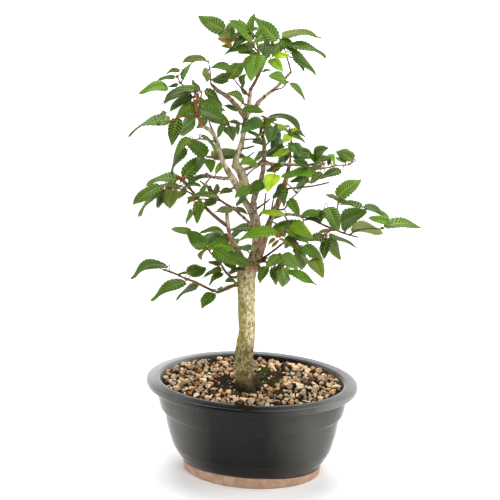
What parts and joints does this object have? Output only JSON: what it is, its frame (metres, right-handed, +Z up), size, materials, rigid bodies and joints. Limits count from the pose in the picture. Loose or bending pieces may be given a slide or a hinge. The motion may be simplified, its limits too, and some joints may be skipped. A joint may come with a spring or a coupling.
{
  "type": "potted bonsai tree",
  "caption": "Small bonsai tree with a straight pale trunk, forked stems and leafy twigs, growing in a gravel-topped oval glazed pot with a flat projecting rim and a bare foot.",
  "frame": {"origin": "middle of the pot's foot, on the surface it stands on", "axes": "+Z up, +X along the pot's long side, the side seen in the picture towards -Y, turned by 15.5 degrees"},
  "size_m": [0.2777, 0.2031, 0.4804],
  "materials": {
    "glaze": "gloss glaze on stoneware, the foot bare terracotta",
    "plastic_mesh": "plain",
    "soil": "damp earth",
    "gravel": "rough stones",
    "bark": "smooth bark",
    "leaf": "soft sheen"
  },
  "bodies": {
    "root": {"pot": "glaze", "drain_mesh_left": "plastic_mesh", "drain_mesh_right": "plastic_mesh", "soil": "soil", "gravel": "gravel", "trunk": "bark", "spray_top_left": "leaf", "spray_top_right": "leaf", "spray_upper_left": "leaf", "spray_left_point": "leaf", "spray_right_point": "leaf", "spray_right_shoulder": "leaf", "spray_left_shoot": "leaf", "spray_left_high": "leaf", "spray_left_inner": "leaf", "spray_left_tip": "leaf", "spray_left_shoulder": "leaf", "spray_centre_left": "leaf", "spray_middle_left": "leaf", "spray_middle_top": "leaf", "spray_middle_right": "leaf", "spray_middle_back": "leaf", "spray_middle_low": "leaf", "spray_right_middle": "leaf", "spray_right_arm": "leaf", "spray_right_hand": "leaf", "spray_left_arm": "leaf", "spray_left_hand": "leaf", "spray_left_under": "leaf", "spray_centre_low": "leaf", "spray_centre_front": "leaf", "spray_centre_bright": "leaf", "spray_centre_fork": "leaf", "spray_centre_back": "leaf", "spray_right_front": "leaf", "spray_right_low": "leaf", "spray_right_upright": "leaf", "spray_right_tip": "leaf", "spray_right_back": "leaf", "spray_low_right_tip": "leaf", "spray_low_right": "leaf", "spray_low_front": "leaf", "spray_front_bright": "leaf", "spray_front_upper": "leaf", "spray_fork_back": "leaf", "spray_low_left": "leaf", "spray_left_back": "leaf", "spray_left_front": "leaf", "spray_lowest": "leaf", "spray_back_low_left": "leaf", "spray_back_low_right": "leaf", "spray_back_top": "leaf", "spray_back_left": "leaf", "spray_back_right": "leaf", "spray_back_middle": "leaf"}
  },
  "joints": []
}
